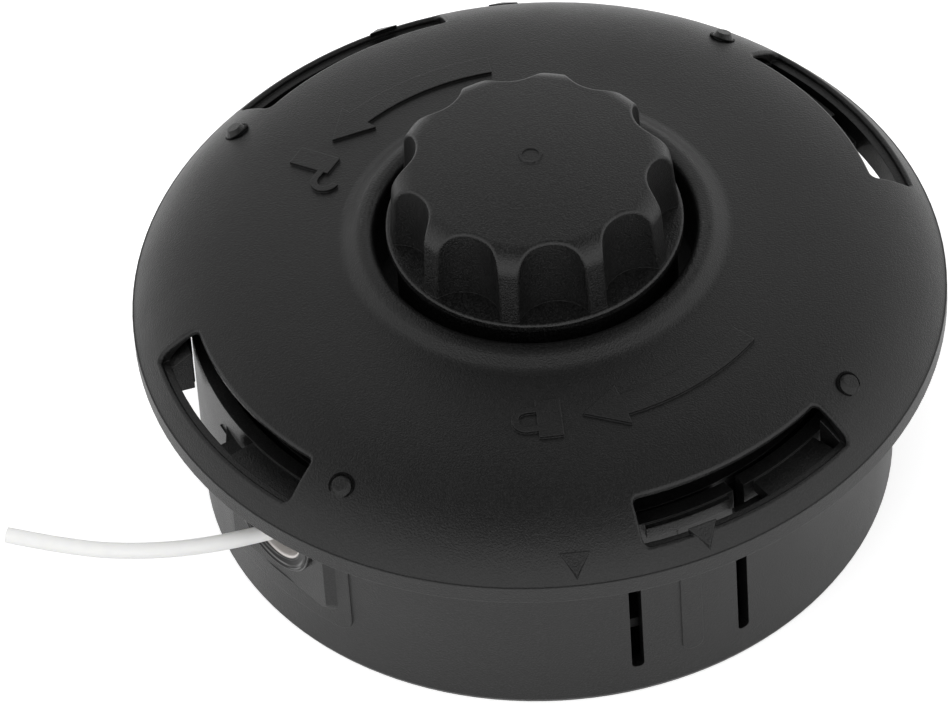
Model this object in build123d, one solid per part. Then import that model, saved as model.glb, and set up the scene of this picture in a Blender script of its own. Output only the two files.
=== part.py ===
from build123d import *
import math
import os

# Bump-feed trimmer head, lying on its drive side with the bump knob up.
# Millimetres, Z up along the drive axis, origin on the axis in the plane of the drum's flat end.
# Angles are in degrees, counter-clockwise from +X as seen from above.

# Drum housing
DRUM_R = 51.6
DRUM_H = 35.5
DRUM_WALL = 2.2
FLOOR = 3.0
FOOT_BEVEL_W = 0.4
FOOT_BEVEL_H = 0.8
DISH_DEPTH = 0.8  # shallow dish in the drive side
DISH_IN_R = 17.0
FOOT_RING = 5.5  # width of the ring that the drum stands on

# Drive insert, a flanged hexagonal steel bush with the drive thread
THREAD_MINOR_R = 4.375  # core hole of an M10 x 1.25 left-hand thread
INSERT_AF = 15.0
INSERT_L = 13.5
INSERT_FLANGE_R = 11.0
INSERT_FLANGE_T = 1.5
INSERT_SET_BACK = 0.5  # flange face behind the drum's flat end
INSERT_FIT = 0.05
SHAFT_END_R = 5.5  # room for the end of the drive shaft
SHAFT_END_L = 4.5

# Hub post, which carries the spool and two rows of index dogs
BASE_R = 11.9
BASE_OVER_INSERT = 1.5
POST_R = 8.8
POST_SINK = 1.0  # post top below the spool's upper face
POST_CORE_R = 5.0
POST_WEB = 3.0
BUMP_TRAVEL = 6.0
DOG_COUNT = 6
DOG_SPAN = 14.0
DOG_PLAY = 1.0  # degrees between a spool dog and the post dog that drives it
DOG_H = 5.0
DOG_SINK = 2.0  # upper row below the post's top
DOG_LEAD = 0.6  # spool dog above the upper row's lower edge
DOG_CLEAR = 1.0  # axial room between a spool dog and the upper row with the knob down
DOG_GAP = 0.4  # radial, dog tip to the wall it faces
ROW_GAP = 1.4  # axial, between the two rows

# Bayonet between drum and cover
HOOK_COUNT = 4
SLOT_CENTRE = 30.0  # middle of the first slot
SLOT_SPAN = 36.0
SLOT_OUT = 3.0  # rim to the slot's outer edge
SLOT_IN = 8.8  # rim to its inner edge
SLOT_EDGE = 0.5
SLOT_CORNER = 0.9
UNLOCK_TURN = 19.0
LUG_REACH = 3.8
LUG_T = 2.1
LUG_DROP = 0.3  # lug top below the drum's edge
LUG_LEAD = 3.4  # degrees from the slot's middle to the lug
LUG_SPAN = 13.4
LUG_PLAY = 0.8  # degrees between a lug and the hook's ends
HOOK_PLAY = 0.3  # axial, lug to ledge
HOOK_GAP = 0.7  # ledge tip to the drum wall
STOP_SPAN = 1.4  # width of the wall at the ledge's end
STOP_COUNT = 2
STOP_REACH = 3.1  # stop rib inwards from the skirt
RIB_SPAN = 3.4
RIB_IN = 1.8  # degrees that the stop rib reaches into the slot

# Latch tongues in the drum wall
TONGUE_COUNT = 2
TONGUE_OFFSET = -9.0  # from a slot's middle to the tongue's middle
TONGUE_HALF = 9.45  # from the tongue's middle to the middle of each cut
TONGUE_CUT = 1.85
TONGUE_FOOT_Z = 5.6
TONGUE_CUT_CORNER = 0.7
CATCH_REACH = 0.9
CATCH_H = 2.0
CATCH_HALF = 7.2
MARK_W = 3.3  # index stripe on the tongue
MARK_FOOT_Z = 6.4
MARK_CORNER = 1.4
RAISED = 0.25  # index stripe and eyelet panel above the wall

# Eyelet panels, the flat pads on them and the eyelets
EYE_ANGLE = 218.0
EYE_COUNT = 2
PANEL_HALF_W = 13.9
PANEL_FOOT = 14.5  # below the eyelet's axis
PANEL_CORNER = 2.6
PAD_HALF_W = 10.4
PAD_FOOT = 10.8  # below the eyelet's axis
PAD_TOP = 8.5  # above it
PAD_CORNER = 1.2
PAD_RISE = 0.15  # flat face outside the drum wall, at the middle
PAD_SLOPE = 2.0  # depth and width of the slope round the flat face
EYE_BORE_R = 5.6
EYE_WALL = 1.0
EYE_SHANK = 3.2
EYE_LIP_R = 8.1
EYE_LIP_T = 1.0
EYE_DISH = 0.6  # mouth behind the lip's edge
EYE_ROUND = 0.45
EYE_FIT = 0.05

# Cover
SKIRT_SPACE = 4.3  # drum wall to the skirt's inside
SKIRT_WALL = 4.1
COVER_WALL = 2.4
RIM_OVERLAP = 4.4  # rim below the drum's edge
LIP_H = 3.0
LIP_STEP = 0.2
LIP_EDGE = 0.15
DOME_RISE = 9.9  # collar's foot above the drum's edge
DOME_EDGE_SLOPE = 58.3
DOME_EDGE_PULL = 0.368  # share of the dome's width over which that slope is held
DOME_FOOT_SLOPE = 6.2
DOME_FOOT_PULL = 0.431
COLLAR_FOOT_R = 28.3
COLLAR_BORE_R = 23.5
COLLAR_WALL = 2.4
COLLAR_H = 1.8
COLLAR_CREST = 2.5  # width of the collar's crest
COLLAR_EDGE = 1.2
COLLAR_ROUND = 2.0
COLLAR_FOOT_ROUND = 2.5
RELIEF = 0.45  # arrows, padlocks and triangles
RELIEF_ROOT = 0.6  # how deep they are rooted in the wall
PIP_R = 1.65
PIP_TOP_R = 1.1
PIP_H = 0.9
PIP_IN = 7.1  # rim to the pips' circle
PIP_OFFSET = 24.8  # from a slot's middle
TRIANGLE_W = 4.4
TRIANGLE_BASE = 3.1  # rim to the triangle's base
TRIANGLE_TIP = 0.6  # rim to its tip
TRIANGLE_PROUD = 1.1  # its tip above the dome
UNLOCK_MARK = -28.0  # unlock triangle, from the slot's middle
ARROW_R = 36.8  # middle of the shaft
ARROW_W = 3.7
ARROW_HEAD_W = 7.2
ARROW_SPAN = 34.8
ARROW_HEAD_SPAN = 9.4
LOCK_TAIL = 321.5
UNLOCK_TAIL = 97.5
PADLOCK_AFTER = 4.8  # degrees from the arrow's tip to the padlock
PADLOCK_W = 6.6
PADLOCK_H = 3.5
SHACKLE_R = 2.2
SHACKLE_T = 1.0
SHACKLE_LEG = 1.5
OPEN_SHACKLE_SHIFT = 3.8  # open bow swung inwards, off the body's end

# Bump knob
KNOB_R = 20.3
KNOB_DRAFT = 0.9
KNOB_H = 13.0
KNOB_CROWN = 1.5
KNOB_EDGE = 4.0
FLUTE_COUNT = 10
FLUTE_ANGLE = 275.0
FLUTE_R = 5.6
FLUTE_DEPTH = 3.2
FLUTE_EDGE = 0.55
RING_RISE = 1.1  # knob's ring above the collar
RING_GAP = 1.7  # ring to the collar's bore
RING_T = 1.2
RING_EDGE = 0.4
KNOB_SKIRT_GAP = 2.9  # knob's skirt to the collar's bore
KNOB_CROWN_T = 4.0
KNOB_CAVITY_R = 13.2
GATE_R = 1.65
GATE_W = 0.35
GATE_H = 0.15
SPIGOT_R = 6.4
SPIGOT_L = 4.0

# Spool and the line wound on it
SPOOL_RIM_GAP = 0.9  # flange to the inner ends of the eyelets
SPOOL_FLANGE_T = 1.8
SPOOL_SINK = 1.5  # spool's upper face below the drum's edge
SPOOL_FLOOR_GAP = 0.8  # to the drum's floor with the knob down
SPOOL_STOP_GAP = 0.3  # to the cover's collar tube at rest
HUB_WALL = 3.0
BORE_GAP = 0.1  # spool bore on the hub base
BOSS_R = 17.4
BOSS_WALL = 2.4
BOSS_H = 10.5
BOSS_FIT = 0.1
LINE_D = 2.4
WINDING_R = 24.0
WINDING_FIT = 0.1

# Spring and thrust washer
SPRING_MEAN_R = 7.9
SPRING_WIRE = 1.5
SPRING_TURNS = 6.5
WASHER_OUT_R = 9.6
WASHER_T = 1.0
WASHER_GAP = 0.4  # washer's hole round the spigot
WASHER_PLAY = 0.1

# Places that follow from the sizes above
DRUM_IN_R = DRUM_R - DRUM_WALL
COVER_IN_R = DRUM_R + SKIRT_SPACE
COVER_R = COVER_IN_R + SKIRT_WALL
RIM_Z = DRUM_H - RIM_OVERLAP
LIP_TOP_Z = RIM_Z + LIP_H
COLLAR_FOOT_Z = DRUM_H + DOME_RISE
COLLAR_TOP_Z = COLLAR_FOOT_Z + COLLAR_H
RING_TOP_Z = COLLAR_TOP_Z + RING_RISE
KNOB_TOP_Z = RING_TOP_Z + KNOB_H
CAVITY_TOP_Z = KNOB_TOP_Z - KNOB_CROWN_T
SPOOL_Z = FLOOR + BUMP_TRAVEL + SPOOL_FLOOR_GAP
SPOOL_TOP_Z = DRUM_H - SPOOL_SINK
PAD_FACE_R = DRUM_R + PAD_RISE
SPOOL_FLANGE_R = PAD_FACE_R - EYE_SHANK - SPOOL_RIM_GAP
EYE_Z = (SPOOL_Z + SPOOL_TOP_Z) / 2
HUB_BORE_R = BASE_R + BORE_GAP
HUB_R = HUB_BORE_R + HUB_WALL
INSERT_SEAT_Z = INSERT_SET_BACK + INSERT_FLANGE_T
INSERT_TOP_Z = INSERT_SET_BACK + INSERT_L
BASE_TOP_Z = INSERT_TOP_Z + BASE_OVER_INSERT
POST_TOP_Z = SPOOL_TOP_Z - POST_SINK
UPPER_ROW_Z = POST_TOP_Z - DOG_SINK - DOG_H
LOWER_ROW_Z = UPPER_ROW_Z - ROW_GAP - DOG_H
SPOOL_DOG_Z = UPPER_ROW_Z + DOG_LEAD
SPOOL_DOG_H = BUMP_TRAVEL - DOG_LEAD - DOG_CLEAR
DOG_PITCH = 360 / DOG_COUNT
SLOT_IN_R = COVER_R - SLOT_IN
SLOT_OUT_R = COVER_R - SLOT_OUT
LUG_TOP_Z = DRUM_H - LUG_DROP
HOOK_IN_R = DRUM_R + HOOK_GAP
HOOK_TOP_Z = LUG_TOP_Z - LUG_T - HOOK_PLAY
LUG_END = LUG_LEAD + LUG_SPAN
HOOK_START = LUG_END - UNLOCK_TURN + LUG_PLAY
WASHER_Z = CAVITY_TOP_Z - WASHER_PLAY - WASHER_T

# Route of the line from the winding through the front eyelet to its free end, seen from above
INNER_ROUTE = [(3.0, -25.35), (-7.8, -27.0), (-18.7, -28.85), (-29.5, -31.0), (-40.2, -33.5)]
FRONT_END = [(-50.6, -35.75), (-60.8, -35.95), (-70.6, -34.2), (-79.9, -30.7)]
REAR_END = [(48.0, 35.2)]
BEND_SHARE = 0.45  # of the shorter run, taken up by each bend


def ring(r_in, r_out, z0, z1):
    outer = Pos(0, 0, z0) * extrude(Circle(r_out), z1 - z0)
    inner = Pos(0, 0, z0) * extrude(Circle(r_in), z1 - z0)
    return outer - inner


def disc(radius, z0, z1):
    return Pos(0, 0, z0) * extrude(Circle(radius), z1 - z0)


def sector_face(r_in, r_out, start, end):
    outer = CenterArc((0, 0), r_out, start, end - start)
    inner = CenterArc((0, 0), r_in, start, end - start)
    return make_face([outer, inner, Line(inner @ 0, outer @ 0), Line(inner @ 1, outer @ 1)])


def sector(r_in, r_out, start, end, z0, z1):
    return Pos(0, 0, z0) * extrude(sector_face(r_in, r_out, start, end), z1 - z0)


def turned(profile):
    return revolve(Plane.XZ * profile, Axis.Z)


def upright(face, r_in, r_out):
    """Extrude a face drawn in (tangent, Z) along the radius at angle 0."""
    return extrude(Plane.YZ.offset(r_in) * face, r_out - r_in)


def round_foot(width, z0, z1, corner):
    """Upright rectangle in (tangent, Z) with its two lower corners rounded."""
    half = width / 2
    face = make_face(Polyline((-half, z0), (half, z0), (half, z1), (-half, z1), close=True))
    lower = face.vertices().sort_by(Axis.Y)[:2]
    return fillet(lower, corner)


def near(shape, x, y):
    return min(shape.vertices(), key=lambda v: math.hypot(v.X - x, v.Y - y))


def around(solid, count, first=0.0):
    return [Rot(0, 0, first + 360 / count * k) * solid for k in range(count)]


def dogs(r_in, r_out, middle, z0, z1):
    return around(sector(r_in, r_out, -DOG_SPAN / 2, DOG_SPAN / 2, z0, z1), DOG_COUNT, middle)


def housing():
    profile = make_face(Polyline(
        (0, 0), (DRUM_R - FOOT_BEVEL_W, 0), (DRUM_R, FOOT_BEVEL_H), (DRUM_R, DRUM_H), (DRUM_IN_R, DRUM_H),
        (DRUM_IN_R, FLOOR), (BASE_R, FLOOR), (BASE_R, BASE_TOP_Z), (POST_R, BASE_TOP_Z), (POST_R, POST_TOP_Z),
        (0, POST_TOP_Z), close=True))
    body = turned(profile)
    # hub: seat and hexagonal pocket of the drive insert, room for the shaft's end, cored post
    shaft_top = INSERT_TOP_Z + SHAFT_END_L
    pocket = RegularPolygon(INSERT_AF / 2 + INSERT_FIT, 6, major_radius=False)
    body -= disc(INSERT_FLANGE_R + INSERT_FIT, -1, INSERT_SEAT_Z)
    body -= Pos(0, 0, INSERT_SEAT_Z) * extrude(pocket, INSERT_TOP_Z - INSERT_SEAT_Z)
    body -= disc(SHAFT_END_R, INSERT_TOP_Z, shaft_top)
    body -= disc(POST_CORE_R, shaft_top + POST_WEB, POST_TOP_Z)
    body -= ring(DISH_IN_R, DRUM_R - FOOT_RING, -1, DISH_DEPTH)
    # two rows of index dogs, half a pitch apart
    tip_r = HUB_BORE_R - DOG_GAP
    root_r = POST_R - DOG_GAP
    body += dogs(root_r, tip_r, 0, UPPER_ROW_Z, UPPER_ROW_Z + DOG_H)
    body += dogs(root_r, tip_r, DOG_PITCH / 2, LOWER_ROW_Z, LOWER_ROW_Z + DOG_H)
    # eyelet panels, flat pads with sloping sides, and eyelet holes
    skin = ring(DRUM_IN_R, DRUM_R + RAISED, 0, DRUM_H)
    pad_top = EYE_Z + PAD_TOP
    pad_foot = EYE_Z - PAD_FOOT
    panel = round_foot(2 * PANEL_HALF_W, EYE_Z - PANEL_FOOT, pad_top, PANEL_CORNER)
    face = round_foot(2 * PAD_HALF_W, pad_foot, pad_top, PAD_CORNER)
    root = round_foot(2 * (PAD_HALF_W + PAD_SLOPE), pad_foot - PAD_SLOPE, pad_top + PAD_SLOPE,
                      PAD_CORNER + PAD_SLOPE)
    pad = loft([Plane.YZ.offset(PAD_FACE_R - PAD_SLOPE) * root, Plane.YZ.offset(PAD_FACE_R) * face])
    hole = Pos(0, EYE_Z) * Circle(EYE_BORE_R + EYE_WALL + EYE_FIT)
    body += around(upright(panel, DRUM_IN_R / 2, COVER_R) & skin, EYE_COUNT, EYE_ANGLE)
    body += around(pad, EYE_COUNT, EYE_ANGLE)
    # the wall in front of a pad is cut back to its flat face
    body -= around(upright(face, PAD_FACE_R, COVER_R), EYE_COUNT, EYE_ANGLE)
    body -= around(upright(hole, DRUM_IN_R / 2, COVER_R), EYE_COUNT, EYE_ANGLE)
    # bayonet lugs
    lug = sector(DRUM_IN_R, DRUM_R + LUG_REACH, LUG_LEAD, LUG_END, LUG_TOP_Z - LUG_T, LUG_TOP_Z)
    tube = ring((DRUM_IN_R + DRUM_R) / 2, COVER_R, 0, DRUM_H)
    body += around(lug & tube, HOOK_COUNT, SLOT_CENTRE)
    # latch tongues with catch, index stripe and the two cuts that free them
    tongue = SLOT_CENTRE + 90 + TONGUE_OFFSET
    catch = sector(DRUM_IN_R, DRUM_R + CATCH_REACH, -CATCH_HALF, CATCH_HALF, LUG_TOP_Z - CATCH_H, LUG_TOP_Z)
    stripe = round_foot(MARK_W, MARK_FOOT_Z, LUG_TOP_Z - CATCH_H, MARK_CORNER)
    cut = round_foot(TONGUE_CUT, TONGUE_FOOT_Z, DRUM_H + 1, TONGUE_CUT_CORNER)
    body += around(catch & tube, TONGUE_COUNT, tongue)
    body += around(upright(stripe, DRUM_IN_R / 2, COVER_R) & skin, TONGUE_COUNT, tongue)
    for side in (-TONGUE_HALF, TONGUE_HALF):
        body -= around(upright(cut, DRUM_IN_R - 1, COVER_R), TONGUE_COUNT, tongue + side)
    return body


def drive_insert():
    hexagon = RegularPolygon(INSERT_AF / 2, 6, major_radius=False)
    body = disc(INSERT_FLANGE_R, INSERT_SET_BACK, INSERT_SEAT_Z)
    body += Pos(0, 0, INSERT_SEAT_Z) * extrude(hexagon, INSERT_TOP_Z - INSERT_SEAT_Z)
    return body - disc(THREAD_MINOR_R, INSERT_SET_BACK, INSERT_TOP_Z)


def eyelet(angle):
    out_r = EYE_BORE_R + EYE_WALL
    rim = (EYE_LIP_R, EYE_SHANK + EYE_LIP_T)
    mouth = (EYE_BORE_R, EYE_SHANK + EYE_LIP_T - EYE_DISH)
    profile = make_face(Polyline(
        (EYE_BORE_R, 0), (out_r, 0), (out_r, EYE_SHANK), (EYE_LIP_R, EYE_SHANK), rim, mouth, close=True))
    profile = fillet([near(profile, *rim), near(profile, *mouth)], EYE_ROUND)
    seat = Plane((PAD_FACE_R - EYE_SHANK, 0, EYE_Z), x_dir=(0, 1, 0), z_dir=(1, 0, 0))
    ferrule = seat * turned(profile)
    return Rot(0, 0, angle) * ferrule


def dome_curve(edge, foot):
    """Dome section from its steep edge to the collar's foot."""
    run = edge[0] - foot[0]
    edge_pull = Vector(-DOME_EDGE_PULL * run, 0).rotate(Axis.Z, -DOME_EDGE_SLOPE)
    foot_pull = Vector(DOME_FOOT_PULL * run, 0).rotate(Axis.Z, -DOME_FOOT_SLOPE)
    return Bezier(edge, Vector(edge) + edge_pull, Vector(foot) + foot_pull, foot)


def outer_curve():
    return dome_curve((COVER_R - LIP_STEP, LIP_TOP_Z), (COLLAR_FOOT_R, COLLAR_FOOT_Z))


def on_dome(radius):
    """Point of the dome's section at a radius, and the way out of the surface there."""
    curve = outer_curve()
    outside, inside = 0.0, 1.0
    while inside - outside > 1e-6:
        middle = (inside + outside) / 2
        if (curve @ middle).X > radius:
            outside = middle
        else:
            inside = middle
    along = curve % inside
    return curve @ inside, Vector(along.Y, -along.X)


def under_edge_z():
    """Height at which the dome's underside meets the skirt."""
    return on_dome(COVER_IN_R)[0].Y - COVER_WALL


def crown_outline():
    """Closed outline of the cover's outer form, from the collar's foot to the rim."""
    curve = outer_curve()
    sides = Polyline(curve @ 0, (COVER_R, LIP_TOP_Z), (COVER_R, RIM_Z), (COLLAR_FOOT_R, RIM_Z), curve @ 1)
    return make_face([curve, sides])


def shell_outline():
    """Section of the cover's wall, with the collar and the tube that guides the knob."""
    curve = outer_curve()
    under_foot = (COLLAR_FOOT_R, COLLAR_FOOT_Z - COVER_WALL)
    under = dome_curve((COVER_IN_R, under_edge_z()), under_foot)
    crest = (COLLAR_BORE_R + COLLAR_CREST, COLLAR_TOP_Z)
    bore = (COLLAR_BORE_R, COLLAR_TOP_Z)
    tube_r = COLLAR_BORE_R + COLLAR_WALL
    stop_z = SPOOL_TOP_Z + SPOOL_STOP_GAP
    collar = Polyline(curve @ 1, crest, bore, (COLLAR_BORE_R, stop_z), (tube_r, stop_z),
                      (tube_r, under_foot[1]), under_foot)
    rim = Polyline(under @ 0, (COVER_IN_R, RIM_Z), (COVER_R, RIM_Z), (COVER_R, LIP_TOP_Z), curve @ 0)
    face = make_face([curve, collar, under, rim])
    face = fillet([near(face, *bore)], COLLAR_EDGE)
    face = fillet([near(face, *crest)], COLLAR_ROUND)
    face = fillet([near(face, COLLAR_FOOT_R, COLLAR_FOOT_Z)], COLLAR_FOOT_ROUND)
    lip = [near(face, COVER_R, RIM_Z), near(face, COVER_R, LIP_TOP_Z)]
    return fillet(lip, LIP_EDGE)


def pip():
    """Blunt cone that stands square on the dome at angle 0."""
    foot, out = on_dome(COVER_R - PIP_IN)
    seat = Plane((foot.X, 0, foot.Y), x_dir=(0, 1, 0), z_dir=(out.X, 0, out.Y))
    cone = Cone(PIP_R, PIP_TOP_R, PIP_H, align=(Align.CENTER, Align.CENTER, Align.MIN))
    root = Cylinder(PIP_R, RELIEF_ROOT, align=(Align.CENTER, Align.CENTER, Align.MAX))
    return seat * (cone + root)


def triangle():
    """Wedge at angle 0 that points at the rim, flush at its base and proud at its tip."""
    base, _ = on_dome(COVER_R - TRIANGLE_BASE)
    tip, _ = on_dome(COVER_R - TRIANGLE_TIP)
    wedge = turned(make_face(Polyline(
        (base.X, base.Y - RELIEF_ROOT), (tip.X, tip.Y - RELIEF_ROOT), (tip.X, tip.Y + TRIANGLE_PROUD),
        (base.X, base.Y + RELIEF / 2), close=True)))
    plan = Polygon((base.X, -TRIANGLE_W / 2), (tip.X, 0), (base.X, TRIANGLE_W / 2), align=None)
    return extrude(plan, KNOB_TOP_Z) & wedge


def arrow(tail, turn):
    """Curved arrow from the angle tail; turn is 1 counter-clockwise, -1 clockwise."""
    neck = tail + turn * ARROW_SPAN
    tip = neck + turn * ARROW_HEAD_SPAN
    shaft = sector_face(ARROW_R - ARROW_W / 2, ARROW_R + ARROW_W / 2, min(tail, neck), max(tail, neck))
    inner = Vector(ARROW_R - ARROW_HEAD_W / 2, 0).rotate(Axis.Z, neck)
    outer = Vector(ARROW_R + ARROW_HEAD_W / 2, 0).rotate(Axis.Z, neck)
    point = Vector(ARROW_R, 0).rotate(Axis.Z, tip)
    return shaft + make_face(Polyline(inner, outer, point, close=True))


def padlock(tail, turn, is_open):
    """Padlock sign past the arrow's tip, its shackle on the far side of the body."""
    angle = tail + turn * (ARROW_SPAN + ARROW_HEAD_SPAN + PADLOCK_AFTER)
    body = Pos(0, PADLOCK_H / 2) * Rectangle(PADLOCK_W, PADLOCK_H)
    legs = Pos(0, SHACKLE_LEG / 2) * Rectangle(2 * SHACKLE_R, SHACKLE_LEG)
    bow = legs + Pos(0, SHACKLE_LEG) * Circle(SHACKLE_R)
    inner_r = SHACKLE_R - SHACKLE_T
    eye = Pos(0, SHACKLE_LEG / 2) * Rectangle(2 * inner_r, SHACKLE_LEG)
    eye += Pos(0, SHACKLE_LEG) * Circle(inner_r)
    below = Pos(0, -SHACKLE_R) * Rectangle(4 * SHACKLE_R, 2 * SHACKLE_R)
    shackle = bow - eye - below
    shift = 0.0
    if is_open:
        gap = Pos(-SHACKLE_R, 0) * Rectangle(2 * SHACKLE_R, 2 * SHACKLE_LEG)
        shackle = shackle - gap
        shift = -OPEN_SHACKLE_SHIFT
    sign = body + Pos(shift, PADLOCK_H) * shackle
    if turn < 0:
        sign = mirror(sign, Plane.XZ)
    return Rot(0, 0, angle) * Pos(ARROW_R, 0) * sign


def cover():
    body = turned(shell_outline())
    slot = sector_face(SLOT_IN_R, SLOT_OUT_R, -SLOT_SPAN / 2, SLOT_SPAN / 2)
    slot = fillet(slot.vertices(), SLOT_CORNER)
    slot = Pos(0, 0, under_edge_z()) * extrude(slot, KNOB_H)
    body -= around(slot, HOOK_COUNT, SLOT_CENTRE)
    body = fillet(slot_edges(body), SLOT_EDGE)
    # hooks: a ledge under each lug, the wall that ends it and the stop rib in the slot's other end
    outline = crown_outline()
    under_dome = turned(Pos(0, -COVER_WALL) * outline)
    root_r = COVER_IN_R + SKIRT_WALL / 2
    end = LUG_END + LUG_PLAY
    rib = RIB_IN - SLOT_SPAN / 2
    ledge = sector(HOOK_IN_R, root_r, HOOK_START, end + STOP_SPAN, RIM_Z, HOOK_TOP_Z)
    end_wall = sector(HOOK_IN_R, root_r, end, end + STOP_SPAN, RIM_Z, COLLAR_FOOT_Z) & under_dome
    stop_rib = sector(COVER_IN_R - STOP_REACH, root_r, rib - RIB_SPAN, rib, RIM_Z, COLLAR_FOOT_Z) & under_dome
    body += around(ledge, HOOK_COUNT, SLOT_CENTRE)
    body += around(end_wall, HOOK_COUNT, SLOT_CENTRE)
    body += around(stop_rib, STOP_COUNT, SLOT_CENTRE)
    # signs moulded on the dome
    skin = turned(Pos(0, RELIEF) * outline) - turned(Pos(0, -RELIEF_ROOT) * outline)
    signs = [arrow(LOCK_TAIL, -1), arrow(UNLOCK_TAIL, 1)]
    signs += [padlock(LOCK_TAIL, -1, False), padlock(UNLOCK_TAIL, 1, True)]
    for sign in signs:
        body += (Pos(0, 0, LIP_TOP_Z) * extrude(sign, KNOB_H)) & skin
    for mark in (UNLOCK_MARK, TONGUE_OFFSET):
        body += around(triangle(), TONGUE_COUNT, SLOT_CENTRE + 90 + mark)
    return body + around(pip(), HOOK_COUNT, SLOT_CENTRE + PIP_OFFSET)


def slot_edges(body):
    """Edges where the slots meet the dome's outer face."""
    edges = []
    for edge in body.edges():
        middle = edge.position_at(0.5)
        radius = math.hypot(middle.X, middle.Y)
        in_slot = SLOT_IN_R - SLOT_EDGE < radius < SLOT_OUT_R + SLOT_EDGE
        if in_slot and abs(middle.Z - on_dome(radius)[0].Y) < SLOT_EDGE:
            edges.append(edge)
    return edges


def bump_knob():
    base_r = KNOB_R + KNOB_DRAFT
    corner = (KNOB_R, KNOB_TOP_Z - KNOB_CROWN)
    top = SagittaArc((0, KNOB_TOP_Z), corner, KNOB_CROWN / 4)
    profile = make_face([top, Polyline(corner, (base_r, RING_TOP_Z), (0, RING_TOP_Z), (0, KNOB_TOP_Z))])
    body = turned(fillet([near(profile, *corner)], KNOB_EDGE))
    flute = Pos(KNOB_R - FLUTE_DEPTH + FLUTE_R, 0, RING_TOP_Z) * extrude(Circle(FLUTE_R), KNOB_H)
    body -= around(flute, FLUTE_COUNT, FLUTE_ANGLE)
    edges = [e for e in body.edges() if e.center().Z > RING_TOP_Z + FLUTE_EDGE]
    body = fillet(edges, FLUTE_EDGE)
    # gate mark, ring under the flutes, skirt, and the hollow for boss, washer and spring
    body += ring(GATE_R - GATE_W, GATE_R, KNOB_TOP_Z - KNOB_CROWN, KNOB_TOP_Z + GATE_H)
    plate = disc(COLLAR_BORE_R - RING_GAP, RING_TOP_Z - RING_T, RING_TOP_Z)
    body += fillet(plate.edges().sort_by(Axis.Z)[-1:], RING_EDGE)
    body += disc(COLLAR_BORE_R - KNOB_SKIRT_GAP, SPOOL_TOP_Z, RING_TOP_Z - RING_T)
    boss_top = SPOOL_TOP_Z + BOSS_H + BOSS_FIT
    body -= disc(BOSS_R + BOSS_FIT, SPOOL_TOP_Z, boss_top)
    body -= disc(KNOB_CAVITY_R, boss_top, CAVITY_TOP_Z)
    return body + disc(SPIGOT_R, CAVITY_TOP_Z - SPIGOT_L, CAVITY_TOP_Z)


def spool():
    lower_top = SPOOL_Z + SPOOL_FLANGE_T
    upper_foot = SPOOL_TOP_Z - SPOOL_FLANGE_T
    boss_top = SPOOL_TOP_Z + BOSS_H
    boss_in = BOSS_R - BOSS_WALL
    profile = make_face(Polyline(
        (HUB_BORE_R, SPOOL_Z), (SPOOL_FLANGE_R, SPOOL_Z), (SPOOL_FLANGE_R, lower_top), (HUB_R, lower_top),
        (HUB_R, upper_foot), (SPOOL_FLANGE_R, upper_foot), (SPOOL_FLANGE_R, SPOOL_TOP_Z),
        (BOSS_R, SPOOL_TOP_Z), (BOSS_R, boss_top), (boss_in, boss_top),
        (boss_in, SPOOL_TOP_Z - SPOOL_FLANGE_T / 2),
        (HUB_BORE_R, SPOOL_TOP_Z - SPOOL_FLANGE_T / 2), close=True))
    body = turned(profile)
    middle = DOG_SPAN + DOG_PLAY
    return body + dogs(POST_R + DOG_GAP, HUB_BORE_R + DOG_GAP, middle, SPOOL_DOG_Z, SPOOL_DOG_Z + SPOOL_DOG_H)


def line_winding():
    z0 = SPOOL_Z + SPOOL_FLANGE_T + WINDING_FIT
    z1 = SPOOL_TOP_Z - SPOOL_FLANGE_T - WINDING_FIT
    turns = int((z1 - z0) / LINE_D)
    pitch = (z1 - z0) / turns
    root_r = WINDING_R - LINE_D / 2
    in_r = HUB_R + WINDING_FIT
    ridges = []
    for k in range(turns):
        ridges.append(ThreePointArc((root_r, z0 + pitch * k), (WINDING_R, z0 + pitch * (k + 0.5)),
                                    (root_r, z0 + pitch * (k + 1))))
    back = Polyline((root_r, z1), (in_r, z1), (in_r, z0), (root_r, z0))
    return turned(make_face([*ridges, back]))


def spring():
    length = WASHER_Z - POST_TOP_Z
    path = Helix(length / SPRING_TURNS, length, SPRING_MEAN_R)
    section = Plane(path @ 0, z_dir=path % 0) * Circle(SPRING_WIRE / 2)
    wire = sweep(section, path=path, is_frenet=True)
    return Pos(0, 0, POST_TOP_Z) * (wire & disc(SPRING_MEAN_R + SPRING_WIRE, 0, length))


def thrust_washer():
    return ring(SPIGOT_R + WASHER_GAP, WASHER_OUT_R, WASHER_Z, WASHER_Z + WASHER_T)


def cord(route):
    """Round line along straight runs joined by bends as large as the runs allow."""
    points = [Vector(x, y, EYE_Z) for x, y in route]
    runs = [b - a for a, b in zip(points, points[1:])]
    radii = []
    for before, after in zip(runs, runs[1:]):
        half_turn = math.radians(before.get_angle(after)) / 2
        radii.append(BEND_SHARE * min(before.length, after.length) / math.tan(half_turn))
    path = FilletPolyline(*points, radius=radii)
    body = sweep(Plane(path @ 0, z_dir=path % 0) * Circle(LINE_D / 2), path=path)
    print("line bends", [round(r, 1) for r in radii], "length", round(path.length, 2))
    print("volume over section times length", round(body.volume / (math.pi * LINE_D**2 / 4 * path.length), 4))
    return body


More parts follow.
